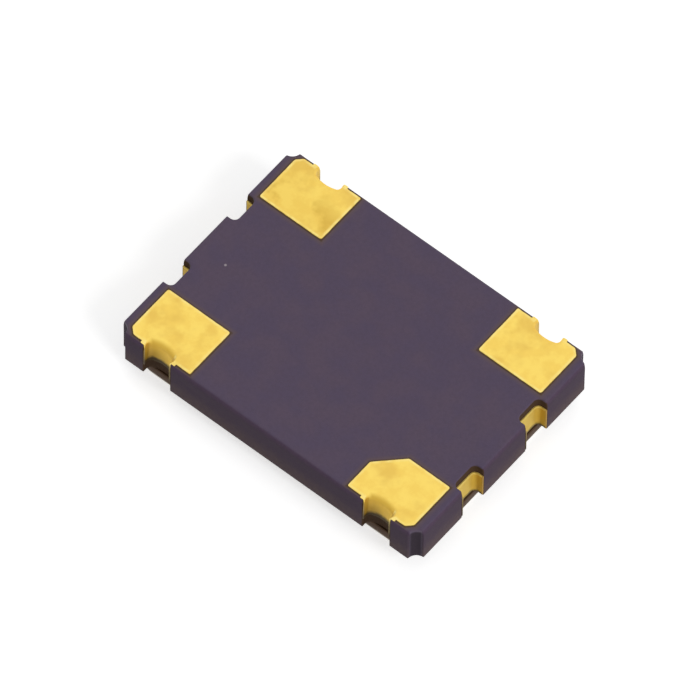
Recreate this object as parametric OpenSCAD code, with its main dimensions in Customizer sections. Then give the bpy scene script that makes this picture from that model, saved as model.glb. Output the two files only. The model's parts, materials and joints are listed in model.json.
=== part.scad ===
// Crystal oscillator in a four-terminal surface-mount ceramic package.
// It lies on its metal lid with the solder terminals up: +X runs along the long side,
// +Y along the short side, and Z starts at the lid's outer face.

/* [Ceramic body] */
// Length of the body
body_l = 7.0; // [6.6:0.1:8]
// Width of the body
body_w = 5.0; // [4.9:0.1:5.6]
// Thickness of the plain layer that carries the solder pads
pad_layer_h = 0.24; // [0.15:0.01:0.4]
// Thickness of the middle layer, which is the depth of the circuit's pocket
middle_layer_h = 0.38; // [0.36:0.01:0.6]
// Thickness of the wall layer round the crystal
wall_layer_h = 0.27; // [0.22:0.01:0.5]
// Radius of the quarter-round castellations at the four corners
corner_r = 0.20; // [0.1:0.01:0.25]
// How far the scored edges lean in at the solder face
score_inset = 0.03; // [0.01:0.01:0.05]
// Height of the scored part of each edge
score_h = 0.14; // [0.05:0.01:0.2]

/* [Solder terminals] */
// Length of a solder pad, along the long side
pad_l = 1.45; // [1.1:0.01:1.6]
// Width of a solder pad, from its outer to its inner edge
pad_w = 1.14; // [0.8:0.01:1.2]
// Thickness of the pads on the ceramic
pad_t = 0.02; // [0.01:0.005:0.04]
// Bare margin between a pad and the short end of the body
pad_end_margin = 0.22; // [0.15:0.01:0.4]
// Bare margin between a pad and the long side of the body
pad_side_margin = 0.075; // [0.05:0.005:0.12]
// Radius of the pads' inner corners
pad_r = 0.05; // [0.02:0.01:0.1]
// Bevel on the corner of each pad that lies nearest the body's corner
pad_bevel = 0.12; // [0.06:0.01:0.15]
// Bevel that marks pin 1, on its inner corner
key_bevel = 0.50; // [0.3:0.01:0.7]
// Length of the tab that takes each pad to the side of the body
tab_l = 0.80; // [0.75:0.01:1]

/* [Castellation slots] */
// Opening of the slot at each solder pad
side_slot_w = 0.57; // [0.4:0.01:0.65]
// Depth of the slot at each solder pad
side_slot_d = 0.21; // [0.15:0.01:0.3]
// Radius of the arc on which that slot's floor bows in
slot_bow_r = 0.65; // [0.5:0.01:1.5]
// Opening of the slots in the short ends
end_slot_w = 0.55; // [0.4:0.01:0.7]
// Depth of the slots in the short ends
end_slot_d = 0.20; // [0.15:0.01:0.3]
// Distance between the two slots of a short end
end_slot_pitch = 1.81; // [1.5:0.01:1.9]
// Corner radius at the bottom of every slot
slot_r = 0.09; // [0.05:0.01:0.15]
// Thickness of the plating on the slot walls
plating_t = 0.025; // [0.01:0.005:0.04]
// Bare height left between the end slots' plating and the sealed face
contact_gap = 0.03; // [0.02:0.01:0.08]

/* [Lid and seal] */
// How far the seal ring stays inside the short ends of the body
ring_end_margin = 0.19; // [0.15:0.01:0.4]
// How far the seal ring stays inside the long sides of the body
ring_side_margin = 0.20; // [0.15:0.01:0.4]
// Height of the seal ring
ring_h = 0.20; // [0.12:0.01:0.4]
// Width of the seal ring's metal, from outside to inside
ring_band = 0.38; // [0.25:0.01:0.42]
// Outer corner radius of the seal ring
ring_r = 0.45; // [0.3:0.01:0.7]
// Inner corner radius of the seal ring
ring_inner_r = 0.17; // [0.1:0.01:0.3]
// Thickness of the braze between ring and ceramic
braze_t = 0.02; // [0.01:0.005:0.04]
// How far the braze stays inside the ring's outer edge
braze_margin = 0.06; // [0.03:0.01:0.1]
// Thickness of the lid
lid_t = 0.10; // [0.06:0.01:0.2]
// How far the lid stays inside the ring's outer edge
lid_margin = 0.02; // [0.01:0.01:0.1]

/* [Cavity] */
// Thickness of the cavity's walls at the short ends
end_wall = 0.85; // [0.7:0.01:0.9]
// Thickness of the cavity's walls at the long sides
side_wall = 0.80; // [0.65:0.01:0.85]
// Corner radius of the opening and of the pocket
cavity_r = 0.25; // [0.1:0.01:0.35]
// Width of the shelf that carries the crystal
shelf_l = 1.05; // [0.95:0.01:1.3]
// Width of the narrow shelf on the pocket's other three sides
shelf_w = 0.22; // [0.1:0.01:0.25]

/* [Crystal] */
// Length of the quartz blank
blank_l = 4.40; // [4:0.01:4.6]
// Width of the quartz blank
blank_w = 1.90; // [1.7:0.01:2.4]
// Thickness of the quartz blank
blank_t = 0.083; // [0.06:0.001:0.12]
// Length of each electrode
electrode_l = 2.40; // [1.8:0.01:2.5]
// Width of each electrode
electrode_w = 1.30; // [1:0.01:1.5]
// Width of the electrodes' tabs
film_tab_w = 0.24; // [0.15:0.01:0.3]
// Thickness of every metal film, drawn thicker than it is so that it stays a solid
film_t = 0.01; // [0.008:0.001:0.015]
// How far the blank's held end reaches past its mounting pads
blank_overhang = 0.06; // [0.02:0.01:0.08]
// How far the outer electrode runs back along the blank from the end it wraps round
wrap_l = 0.31; // [0.1:0.01:0.6]
// Length of a crystal mounting pad
mount_l = 0.62; // [0.54:0.01:0.8]
// Width of a crystal mounting pad
mount_w = 0.66; // [0.54:0.01:0.7]
// Thickness of the printed metal inside the cavity
print_t = 0.015; // [0.01:0.001:0.03]
// Radius of an adhesive dot where it wets its mounting pad
dot_r = 0.26; // [0.15:0.01:0.3]
// Radius of an adhesive dot where it holds the blank
dot_blank_r = 0.21; // [0.12:0.01:0.3]
// Height of an adhesive dot
dot_h = 0.045; // [0.03:0.001:0.08]

/* [Oscillator circuit] */
// Length of the silicon die
die_l = 1.30; // [1:0.01:1.5]
// Width of the silicon die
die_w = 1.05; // [0.8:0.01:1.1]
// Thickness of the silicon die
die_t = 0.18; // [0.12:0.01:0.2]
// Thickness of the adhesive under the die
attach_t = 0.02; // [0.01:0.005:0.03]
// How far the adhesive shows round the die
attach_margin = 0.05; // [0.02:0.01:0.1]
// How far the metallised flag reaches past the die
flag_margin = 0.12; // [0.11:0.01:0.25]
// Distance between neighbouring bond wires on the die
die_pad_pitch = 0.45; // [0.3:0.01:0.5]
// Side of a square bond pad on the die
die_pad_w = 0.09; // [0.08:0.01:0.12]
// Distance between neighbouring bond fingers in the pocket
finger_pitch = 0.55; // [0.45:0.01:0.65]
// Length of a bond finger
finger_l = 0.34; // [0.25:0.01:0.4]
// Width of a bond finger
finger_w = 0.24; // [0.15:0.01:0.3]
// Gap between a bond finger and the pocket's wall
finger_gap = 0.06; // [0.03:0.01:0.12]
// Diameter of the bond wire
wire_d = 0.025; // [0.02:0.001:0.035]
// Diameter of the ball that bonds each wire to the die
ball_d = 0.07; // [0.05:0.005:0.08]
// Height of that ball
ball_h = 0.025; // [0.015:0.005:0.04]
// Length of the flat stitch that bonds each wire to its finger
stitch_l = 0.105; // [0.06:0.005:0.15]
// How far the wire's loop bows out from a straight line between its ends
wire_bow = 0.15; // [0.1:0.01:0.18]

/* [Hidden] */
$fn = 48;
// Overshoot of a cut past the face that it opens
cut = 0.1;
body_colour = "#564a5c";
gold_colour = "#f2cf62";

// Faces of the stack, from the lid's outer face up
z_ring = lid_t;
z_braze = z_ring + ring_h;
z_wall = z_braze + braze_t;
z_shelf = z_wall + wall_layer_h;
z_floor = z_shelf + middle_layer_h;
z_face = z_floor + pad_layer_h;
z_top = z_face + pad_t;

// Plan of the terminals, the seal and the cavity, set in from the body's sides
pad_pitch = body_l - 2 * pad_end_margin - pad_l;
ring_l = body_l - 2 * ring_end_margin;
ring_w = body_w - 2 * ring_side_margin;
cavity_l = body_l - 2 * end_wall;
cavity_w = body_w - 2 * side_wall;

// The pocket lies in the cavity's floor, against three narrow shelves and one wide one
pocket_l = cavity_l - shelf_l - shelf_w;
pocket_w = cavity_w - 2 * shelf_w;
pocket_x = (shelf_l - shelf_w) / 2;

// Stack of the crystal under its shelf
z_mount = z_shelf - print_t;
z_film = z_mount - dot_h;
z_blank_top = z_film - film_t;
z_blank = z_blank_top - blank_t;
mount_x = shelf_l / 2 - cavity_l / 2;
blank_x0 = mount_x - mount_l / 2 - blank_overhang;
blank_x = blank_x0 + blank_l / 2;
mount_y = (blank_w - mount_w) / 2;
electrode_x = blank_x + mount_l / 2;

// Stack of the die under the cavity's floor
z_flag = z_floor - print_t;
z_attach = z_flag - attach_t;
z_die = z_attach - die_t;
z_die_pad = z_die - film_t;
die_pad_y = die_w / 2 - die_pad_w;
finger_y = pocket_w / 2 - finger_gap - finger_l / 2;

// Four solder terminals, in pin order: side along X, side along Y, bevel of the inner corner
PINS = [[1, -1, key_bevel], [-1, -1, 0], [-1, 1, 0], [1, 1, 0]];
// Four end slots and two crystal mounts
ENDS = [[1, -1], [-1, -1], [-1, 1], [1, 1]];
MOUNTS = [-1, 1];
// Six bond wires: place along the row, and side of the die
WIRES = [[-1, -1], [0, -1], [1, -1], [-1, 1], [0, 1], [1, 1]];

// ---- Shared shapes ----

// Moves its children to height z and extrudes them by h
module layer(z, h) {
    translate([0, 0, z])
        linear_extrude(h)
            children();
}

// Rectangle on the origin with round corners
module rounded_rect(l, w, r) {
    square([l - 2 * r, w], center = true);
    square([l, w - 2 * r], center = true);
    for (sx = [-1, 1])
        for (sy = [-1, 1])
            translate([sx * (l / 2 - r), sy * (w / 2 - r)])
                circle(r);
}

// Flat block on the origin, from height z up by h
module block(l, w, z, h) {
    layer(z, h)
        square([l, w], center = true);
}

// Slot of a short end, in a frame whose X axis is the edge: it goes in along +Y and opens past
// the edge. Its walls lie outside those of the plated slot by grow.
module end_slot_outline(grow) {
    w = end_slot_w + 2 * grow;
    d = end_slot_d + grow;
    r = slot_r + grow;
    translate([-w / 2, -cut])
        square([w, cut + d - r]);
    translate([r - w / 2, -cut])
        square([w - 2 * r, cut + d]);
    for (s = [-1, 1])
        translate([s * (w / 2 - r), d - r])
            circle(r);
}

// Slot at a solder pad, the same way round. Its floor bows in, on an arc that runs smoothly
// into the round corners.
module side_slot_outline(grow) {
    w = side_slot_w + 2 * grow;
    d = side_slot_d + grow;
    r = slot_r + grow;
    bow_r = slot_bow_r + grow;
    corner_x = w / 2 - r;
    corner_y = d - bow_r + sqrt(pow(bow_r - r, 2) - pow(corner_x, 2));
    // Half the width of the arc, from the slot's middle to where a corner takes over
    arc_x = corner_x * bow_r / (bow_r - r);
    translate([-w / 2, -cut])
        square([w, cut + corner_y]);
    for (s = [-1, 1])
        translate([s * corner_x, corner_y])
            circle(r);
    intersection() {
        translate([0, d - bow_r])
            circle(bow_r);
        translate([-arc_x, -cut])
            square([2 * arc_x, d + 2 * cut]);
    }
}

// Frame of a slot at a solder pad: origin on the side of the body, +Y inwards
module at_side_slot(sx, sy) {
    translate([sx * pad_pitch / 2, sy * body_w / 2])
        rotate(sy > 0 ? 180 : 0)
            children();
}

// Frame of a slot in a short end, the same way round
module at_end_slot(sx, sy) {
    translate([sx * body_l / 2, sy * end_slot_pitch / 2])
        rotate(sx * 90)
            children();
}

// Plating that lines a slot at a solder pad
module side_lining() {
    difference() {
        side_slot_outline(plating_t);
        side_slot_outline(0);
    }
}

// Plating that lines a slot of a short end
module end_lining() {
    difference() {
        end_slot_outline(plating_t);
        end_slot_outline(0);
    }
}

// Section of the body across one direction: upright sides that lean in where the solder face
// was scored
module scored_section(width) {
    half = width / 2;
    rim = half - score_inset;
    polygon([
        [-half, z_wall], [half, z_wall],
        [half, z_face - score_h], [rim, z_face],
        [-rim, z_face], [-half, z_face - score_h]
    ]);
}

// The body's outer form before any slot, hole or cavity
module scored_block() {
    intersection() {
        rotate([90, 0, 0])
            linear_extrude(body_w + cut, center = true)
                scored_section(body_l);
        rotate([90, 0, 90])
            linear_extrude(body_l + cut, center = true)
                scored_section(body_w);
    }
}

// ---- Ceramic body ----

// Everything that is punched through all three layers
module punched_outline() {
    for (sx = [-1, 1])
        for (sy = [-1, 1]) {
            translate([sx * body_l / 2, sy * body_w / 2])
                circle(corner_r);
            at_side_slot(sx, sy)
                side_slot_outline(plating_t);
            at_end_slot(sx, sy)
                end_slot_outline(plating_t);
        }
}

module ceramic_body() {
    color(body_colour)
        difference() {
            scored_block();
            layer(z_wall - cut, z_face - z_wall + 2 * cut)
                punched_outline();
            layer(z_wall - cut, wall_layer_h + cut)
                rounded_rect(cavity_l, cavity_w, cavity_r);
            translate([pocket_x, 0])
                layer(z_shelf - cut, middle_layer_h + cut)
                    rounded_rect(pocket_l, pocket_w, cavity_r);
        }
}

// ---- Solder terminals and test contacts ----

// Pad in its slot's frame, where the body's corner lies on the side -sx * sy. Its outer corner
// there has a bevel, and key is the bevel of the inner corner nearest the body's middle.
module pad_outline(sx, sy, key) {
    inner = pad_side_margin + pad_w;
    mid_x = sx * sy * pad_l / 2;
    difference() {
        union() {
            translate([0, pad_side_margin + pad_w / 2])
                rounded_rect(pad_l, pad_w, pad_r);
            translate([-tab_l / 2, score_inset])
                square([tab_l, side_slot_d]);
        }
        side_slot_outline(0);
        translate([-mid_x, pad_side_margin])
            rotate(45)
                square(pad_bevel * sqrt(2), center = true);
        if (key > 0)
            translate([mid_x, inner])
                rotate(45)
                    square(key * sqrt(2), center = true);
    }
}

// Solder pad, and the plating that runs from it down its slot to the wall layer
module terminal(pin) {
    sx = PINS[pin][0];
    sy = PINS[pin][1];
    color(gold_colour) {
        layer(z_face, pad_t)
            at_side_slot(sx, sy)
                pad_outline(sx, sy, PINS[pin][2]);
        intersection() {
            scored_block();
            layer(z_shelf, z_face - z_shelf)
                at_side_slot(sx, sy)
                    side_lining();
        }
    }
}

// Plating in an end slot, from the pad layer down to just short of the seal
module test_contact(i) {
    color(gold_colour)
        intersection() {
            scored_block();
            layer(z_wall + contact_gap, z_floor - z_wall - contact_gap)
                at_end_slot(ENDS[i][0], ENDS[i][1])
                    end_lining();
        }
}

// ---- Lid and seal ----

// Closed frame of the seal, pulled in by margin at its outer edge
module seal_outline(margin) {
    difference() {
        rounded_rect(ring_l - 2 * margin, ring_w - 2 * margin, ring_r - margin);
        rounded_rect(ring_l - 2 * ring_band, ring_w - 2 * ring_band, ring_inner_r);
    }
}

module seal_braze() {
    color("#d8c9a0")
        layer(z_braze, braze_t)
            seal_outline(braze_margin);
}

module seal_ring() {
    color("#d9b85c")
        layer(z_ring, ring_h)
            seal_outline(0);
}

module lid() {
    color("#c4c5c3")
        layer(0, lid_t)
            rounded_rect(ring_l - 2 * lid_margin, ring_w - 2 * lid_margin, ring_r - lid_margin);
}

// ---- Crystal and its mounts ----

module crystal_blank() {
    color("#e4ecef")
        translate([blank_x, 0])
            block(blank_l, blank_w, z_blank, blank_t);
}

// Electrode with a tab along one long edge of the blank to its mounted end
module electrode_film(z, side) {
    tab_end = electrode_x - blank_x0;
    translate([electrode_x, 0])
        block(electrode_l, electrode_w, z, film_t);
    translate([blank_x0 + tab_end / 2, side * (electrode_w - film_tab_w) / 2])
        block(tab_end, film_tab_w, z, film_t);
}

// Patch of film where the adhesive holds the blank
module mount_patch(side) {
    patch_l = mount_l + blank_overhang;
    translate([blank_x0 + patch_l / 2, side * mount_y])
        block(patch_l, mount_w, z_blank_top, film_t);
}

// Film on the face towards the circuit
module electrode_inner() {
    color("#cfd2d4") {
        electrode_film(z_blank_top, 1);
        mount_patch(1);
    }
}

// Film on the face towards the lid, which wraps round the blank's end to its own patch
module electrode_outer() {
    color("#cfd2d4") {
        electrode_film(z_blank - film_t, -1);
        mount_patch(-1);
        translate([blank_x0 - film_t / 2, -mount_y])
            block(film_t, mount_w, z_blank - film_t, blank_t + 2 * film_t);
        translate([blank_x0 + wrap_l / 2, -mount_y])
            block(wrap_l, mount_w, z_blank - film_t, film_t);
    }
}

module crystal_pad(i) {
    color(gold_colour)
        translate([mount_x, MOUNTS[i] * mount_y])
            block(mount_l, mount_w, z_mount, print_t);
}

module adhesive_dot(i) {
    color("#a9a49a")
        translate([mount_x, MOUNTS[i] * mount_y, z_film])
            cylinder(h = dot_h, r1 = dot_blank_r, r2 = dot_r);
}

// ---- Oscillator circuit ----

module oscillator_die() {
    color("#5d636b")
        translate([pocket_x, 0])
            block(die_l, die_w, z_die, die_t);
}

module die_attach() {
    color("#b9b4a6")
        translate([pocket_x, 0])
            block(die_l + 2 * attach_margin, die_w + 2 * attach_margin, z_attach, attach_t);
}

module die_flag() {
    color(gold_colour)
        translate([pocket_x, 0])
            block(die_l + 2 * flag_margin, die_w + 2 * flag_margin, z_flag, print_t);
}

// Six aluminium pads on the die's face
module die_bond_pads() {
    color("#d6d8da")
        for (w = WIRES)
            translate([pocket_x + w[0] * die_pad_pitch, w[1] * die_pad_y])
                block(die_pad_w, die_pad_w, z_die_pad, film_t);
}

module bond_finger(i) {
    color(gold_colour)
        translate([pocket_x + WIRES[i][0] * finger_pitch, WIRES[i][1] * finger_y])
            block(finger_w, finger_l, z_flag, print_t);
}

// Gold wire from a ball on the die, in one arc, to a flat stitch on its finger.
// It is drawn in the upright plane through its two ends: run along +X, rise along +Z.
module bond_wire(i) {
    start = [pocket_x + WIRES[i][0] * die_pad_pitch, WIRES[i][1] * die_pad_y];
    end = [pocket_x + WIRES[i][0] * finger_pitch, WIRES[i][1] * finger_y];
    start_z = z_die_pad - ball_h / 2;
    run = norm(end - start);
    rise = z_flag - wire_d / 2 - start_z;
    chord = norm([run, rise]);
    // The arc bows away from the cavity's floor by wire_bow
    arc_r = (chord * chord / 4 + wire_bow * wire_bow) / (2 * wire_bow);
    half_angle = asin(chord / 2 / arc_r);
    color(gold_colour)
        translate([start[0], start[1], start_z])
            rotate([0, 0, atan2(end[1] - start[1], end[0] - start[0])]) {
                translate([0, 0, -ball_h / 2])
                    cylinder(h = ball_h, d = ball_d);
                translate([run - stitch_l / 2, -ball_d / 2, rise])
                    cube([stitch_l, ball_d, wire_d / 2]);
                rotate([0, -atan2(rise, run), 0])
                    translate([chord / 2, 0, arc_r - wire_bow])
                        rotate([90, 0, 0])
                            rotate([0, 0, 270 - half_angle])
                                rotate_extrude(angle = 2 * half_angle)
                                    translate([arc_r, 0])
                                        circle(d = wire_d);
            }
}

// ---- Assembly ----

ceramic_body();
terminal(0);  // terminal_enable
terminal(1);  // terminal_ground
terminal(2);  // terminal_output
terminal(3);  // terminal_supply
for (i = [0:3])
    test_contact(i);
seal_braze();
seal_ring();
lid();
crystal_blank();
electrode_inner();
electrode_outer();
for (i = [0:1])
    crystal_pad(i);
for (i = [0:1])
    adhesive_dot(i);
oscillator_die();
die_attach();
die_flag();
die_bond_pads();
for (i = [0:5])
    bond_finger(i);
for (i = [0:5])
    bond_wire(i);
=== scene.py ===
import json
import math
from collections import namedtuple

import bmesh
import bpy
from mathutils import Matrix, Vector, noise


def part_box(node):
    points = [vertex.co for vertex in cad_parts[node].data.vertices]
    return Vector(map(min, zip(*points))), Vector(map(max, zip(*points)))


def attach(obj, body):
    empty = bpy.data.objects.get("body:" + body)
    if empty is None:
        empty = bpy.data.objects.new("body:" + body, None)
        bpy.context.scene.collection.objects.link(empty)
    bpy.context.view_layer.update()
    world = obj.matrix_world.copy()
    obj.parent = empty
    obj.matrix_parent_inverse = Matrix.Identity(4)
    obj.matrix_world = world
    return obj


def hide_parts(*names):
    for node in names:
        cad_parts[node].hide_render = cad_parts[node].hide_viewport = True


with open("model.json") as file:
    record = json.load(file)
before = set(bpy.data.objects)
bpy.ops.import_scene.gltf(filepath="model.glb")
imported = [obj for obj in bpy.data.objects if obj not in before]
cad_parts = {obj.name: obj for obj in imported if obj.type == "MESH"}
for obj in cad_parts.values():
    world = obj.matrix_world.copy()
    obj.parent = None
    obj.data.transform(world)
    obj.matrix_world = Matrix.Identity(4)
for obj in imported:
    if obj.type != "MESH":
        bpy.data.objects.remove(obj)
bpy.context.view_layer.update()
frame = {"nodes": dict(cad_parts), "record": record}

# What is modelled here is worked out in millimetres and scaled when it becomes a piece.
MM = 0.001


def box_mm(node):
    """Lowest and highest corner of a CAD node, in millimetres."""
    low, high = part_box(node)
    return low / MM, high / MM


# ---- Sizes that come from the CAD nodes ----

body_low, body_high = box_mm("ceramic_body")
pad_low, pad_high = box_mm("terminal_supply")
contact_low, contact_high = box_mm("test_contact_4")
ring_low, ring_high = box_mm("seal_ring")
braze_low, braze_high = box_mm("seal_braze")
lid_low, lid_high = box_mm("lid")
flag_low, flag_high = box_mm("die_flag")

HALF_L, HALF_W = body_high.x, body_high.y
Z_WALL, Z_FACE = body_low.z, body_high.z
Z_SHELF, Z_TOP = pad_low.z, pad_high.z
Z_FLOOR = flag_high.z

# ---- Sizes that the boxes don't hold, as in part.scad, in millimetres ----

PLATING = 0.025
# A slot as plated. bow_r is the radius of a bowed floor, and 0 for a straight one.
Slot = namedtuple("Slot", "width depth radius bow_r")
END_W = contact_high.y - contact_low.y - 2 * PLATING
END_D = contact_high.x - contact_low.x - PLATING
SIDE_SLOT = Slot(0.57, 0.21, 0.09, 0.65)
END_SLOT = Slot(END_W, END_D, 0.09, 0.0)
CORNER_R = 0.20
SCORE_IN = 0.03
SCORE_H = 0.14
PAD_MARGIN = 0.075
PAD_R = 0.05
PAD_BEVEL = 0.12
KEY_BEVEL = 0.50
TAB_L = 0.80
RING_BAND = 0.38
RING_R = 0.45
RING_INNER_R = 0.17
BRAZE_BAND = 0.26
CAVITY = (5.30, 3.40, 0.25)
POCKET = (4.03, 2.96, 0.25)
POCKET_X = 0.415

PAD_X = (pad_low.x + pad_high.x) / 2
PAD_L = pad_high.x - pad_low.x
PAD_INNER = HALF_W - pad_low.y
CONTACT_Y = (contact_low.y + contact_high.y) / 2

# ---- What the real edges add to the solids, in millimetres ----

# Softness of the ceramic's edges
RIM_SIDE = 0.040
RIM_NOTCH = 0.035
RIM_SEALED = 0.012
SCORE_SOFT = 0.055
CUSP_SOFT = 0.018
# Unevenness of the snapped sides, and its pattern
RIPPLE = 0.010
RIPPLE_PATTERN = (2.3, 5.0, 7.0)

# The pads' plating turns into a slot on a radius that grows from the slot's mouth to its floor,
# after a flat strip. The ceramic's rim under it is sharper.
WRAP_MOUTH = 0.055
WRAP_FLOOR = 0.130
WRAP_FLAT = 0.012
UNDER_WRAP = 0.018

# Softness of the edges and corners of plating and metal
PAD_EDGE = 0.009
PAD_CORNER = 0.030
TAB_CORNER = 0.016
TAB_ROOT = 0.012
PLATE_EDGE = 0.008
METAL_EDGE = 0.020

# Unevenness of a pad's outline, and its pattern. In a zone round its tab the outline only swells.
PAD_RAGGED = 0.004
PAD_RAGGED_TAB = 0.010
PAD_PATTERN = (9.0, 9.0, 3.7)
TAB_ZONE_U = 0.05
TAB_ZONE_V = 0.01
# Unevenness of the plating's limits in a slot, its pattern, and the plating's creep up the end slots
PLATE_RAGGED = 0.022
PLATE_PATTERN = (0.31, 5.3, 1.7)
PLATE_CREEP = 0.015
# Added to a slot's seed for the lower limit of its plating
LOWER_SEED = 9

# The braze's fillet ends just inside the ring's edge and is hollow towards this place
BRAZE_IN = 0.006
BRAZE_HOLLOW = 0.015
# The seam weld rolled the lid's edge in, on a band that slopes to a lip
WELD_BAND = 0.14
WELD_SOFT = 0.02
WELD_SOFT_DROP = 0.003
WELD_LIP = 0.030
WELD_DROP = 0.016
WELD_LIP_DROP = 0.004
WELD_UPRIGHT = 0.050
# Mitres of a shifted outline are held to this share of the normal
LEAST_MITRE = 0.3

# ---- Numbers of steps in curves and walls ----

# Rounded rectangles, and a slot's wall: straight part, corner and floor
RECT_ARC, RECT_SIDE = 12, 16
SPINE_WALL, SPINE_TURN, SPINE_FLOOR = 5, 10, 12
SPINE_LAST = 2 * (SPINE_WALL + SPINE_TURN) + SPINE_FLOOR
# Down the body's walls, and round the body
RIM_STEPS, KNEE_STEPS, WALL_STEPS, FOOT_STEPS = 6, 5, 9, 4
END_STEPS, MIDDLE_STEPS, CUSP_STEPS, CORNER_STEPS = 7, 44, 4, 10
# Soft edges, wrap over the rim, and lining of the side and the end slots
EDGE_STEPS, LIP_STEPS, WRAP_STEPS, LINING_STEPS, CONTACT_STEPS = 4, 3, 10, 10, 8
# A pad's outline: its corners, the fade of its unevenness, and millimetres a step
SOFT_STEPS, PAD_FADE_STEPS = 6, 6
PAD_STEP = 0.04


# ---- Plan curves: lists of points in a plane ----

def arc(centre, radius, start, end, steps):
    """Points on an arc from angle start to angle end, in degrees, with both ends."""
    angles = [math.radians(start + (end - start) * i / steps) for i in range(steps + 1)]
    return [(centre[0] + radius * math.cos(a), centre[1] + radius * math.sin(a)) for a in angles]


def line(p, q, steps):
    """Points from p to q, with both ends."""
    return [tuple(a + (b - a) * i / steps for a, b in zip(p, q)) for i in range(steps + 1)]


def bend(p, corner, q, steps):
    """Points on a soft corner from p to q, drawn towards the corner, with both ends."""
    points = []
    for i in range(steps + 1):
        t = i / steps
        a, b, c = (1 - t) ** 2, 2 * t * (1 - t), t * t
        points.append(tuple(a * x + b * y + c * z for x, y, z in zip(p, corner, q)))
    return points


def rounded_rect(length, width, radius):
    """Closed outline, counterclockwise, round the origin."""
    points = []
    hl, hw = length / 2 - radius, width / 2 - radius
    corners = [(hl, hw, 0), (-hl, hw, 90), (-hl, -hw, 180), (hl, -hw, 270)]
    turns = [arc((x, y), radius, start, start + 90, RECT_ARC) for x, y, start in corners]
    for turn, following in zip(turns, turns[1:] + turns[:1]):
        points += turn + line(turn[-1], following[0], RECT_SIDE)[1:-1]
    return points


def inset_rect(size, inwards):
    """Rounded rectangle of a length, width and radius, drawn in by a distance all round."""
    length, width, radius = size
    return rounded_rect(length - 2 * inwards, width - 2 * inwards, radius - inwards)


def shifted(points, distance):
    """An open outline moved to its left by distance, with mitred corners."""
    places = [Vector(p) for p in points]
    ways = [(q - p).normalized() for p, q in zip(places, places[1:])]
    moved = []
    for here, d1, d2 in zip(places, ways[:1] + ways, ways + ways[-1:]):
        n1, n2 = Vector((-d1.y, d1.x)), Vector((-d2.y, d2.x))
        n = (n1 + n2).normalized()
        moved.append(tuple(here + n * (distance / max(n.dot(n1), LEAST_MITRE))))
    return moved


def soft_outline(corners):
    """Open outline through corners (u, v, reach), each rounded over its reach."""
    points = [corners[0][:2]]

    def straight_to(place):
        count = max(2, round((Vector(place) - Vector(points[-1])).length / PAD_STEP))
        return line(points[-1], place, count)[1:]

    for before, here, after in zip(corners, corners[1:], corners[2:]):
        p, c, q = Vector(before[:2]), Vector(here[:2]), Vector(after[:2])
        start = c + (p - c).normalized() * here[2]
        end = c + (q - c).normalized() * here[2]
        points += straight_to(start) + bend(start, c, end, SOFT_STEPS)[1:]
    return points + straight_to(corners[-1][:2])


def wave(pattern, *place):
    """Noise at a place that a pattern scales along each axis."""
    return noise.noise(Vector([scale * part for scale, part in zip(pattern, place)]))


# ---- The way round a slot's wall ----

def punched(slot):
    """The slot in the ceramic, before it is plated."""
    bow_r = slot.bow_r + PLATING if slot.bow_r else 0.0
    return Slot(slot.width + 2 * PLATING, slot.depth + PLATING, slot.radius + PLATING, bow_r)


def slot_wall(i, slot, mouth):
    """Point i of the way round a slot's wall, from its left mouth to its right: (u, v, nu, nv).
    u runs along the side, v inwards, and the normal points into the ceramic."""
    if i > SPINE_LAST / 2:
        u, v, nu, nv = slot_wall(SPINE_LAST - i, slot, mouth)
        return -u, v, -nu, nv
    width, depth, radius, bow_r = slot
    corner_u = radius - width / 2
    if bow_r:
        off_bow = math.sqrt((bow_r - radius) ** 2 - corner_u ** 2)
        corner_v, floor_start = depth - bow_r + off_bow, math.atan2(off_bow, corner_u)
    else:
        corner_v, floor_start = depth - radius, math.pi / 2
    if i <= SPINE_WALL:
        return -width / 2, mouth + (corner_v - mouth) * i / SPINE_WALL, -1.0, 0.0
    if i <= SPINE_WALL + SPINE_TURN:
        a = math.pi - (math.pi - floor_start) * (i - SPINE_WALL) / SPINE_TURN
        nu, nv = math.cos(a), math.sin(a)
        return corner_u + radius * nu, corner_v + radius * nv, nu, nv
    share = (i - SPINE_WALL - SPINE_TURN) / SPINE_FLOOR
    if not bow_r:
        return corner_u * (1 - 2 * share), depth, 0.0, 1.0
    a = floor_start + (math.pi - 2 * floor_start) * share
    nu, nv = math.cos(a), math.sin(a)
    return bow_r * nu, depth - bow_r + bow_r * nv, nu, nv


def wrap_radius(i):
    """Radius on which the plating turns from a pad into its slot, at point i of the slot's wall."""
    t = min(i, SPINE_LAST - i, SPINE_WALL + SPINE_TURN) / (SPINE_WALL + SPINE_TURN)
    return WRAP_MOUTH + (WRAP_FLOOR - WRAP_MOUTH) * t * t * (3 - 2 * t)


# ---- The height profile of the body's walls ----

# inset and side_z place the snapped sides at a level. The punched walls are widened there by
# grow + rim * spread, at the height notch_z - rim * drop, where rim is the softness of their edge.
Level = namedtuple("Level", "inset side_z spread drop grow notch_z")


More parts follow.
